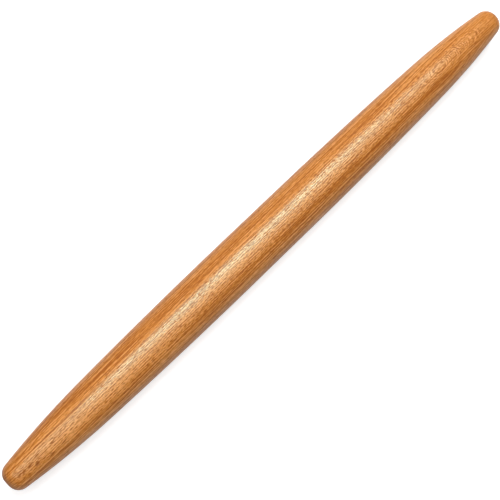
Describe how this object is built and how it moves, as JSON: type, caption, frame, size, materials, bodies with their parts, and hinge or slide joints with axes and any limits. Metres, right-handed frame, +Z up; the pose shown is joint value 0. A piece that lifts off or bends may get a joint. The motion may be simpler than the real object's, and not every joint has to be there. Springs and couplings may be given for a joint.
{
  "type": "rolling pin",
  "caption": "French rolling pin: a solid turned wooden rod without handles, thickest in the middle and tapering to rounded ends, for rolling out dough.",
  "frame": {"origin": "middle of the pin, on its turning axis", "axes": "+X along the turning axis, left to right for the baker; +Z up from the table; the pin rests on the line under its belly"},
  "size_m": [0.508, 0.038, 0.0381],
  "materials": {
    "oiled_beech": "satin oil"
  },
  "bodies": {
    "root": {"rolling_pin": "oiled_beech"}
  },
  "joints": []
}
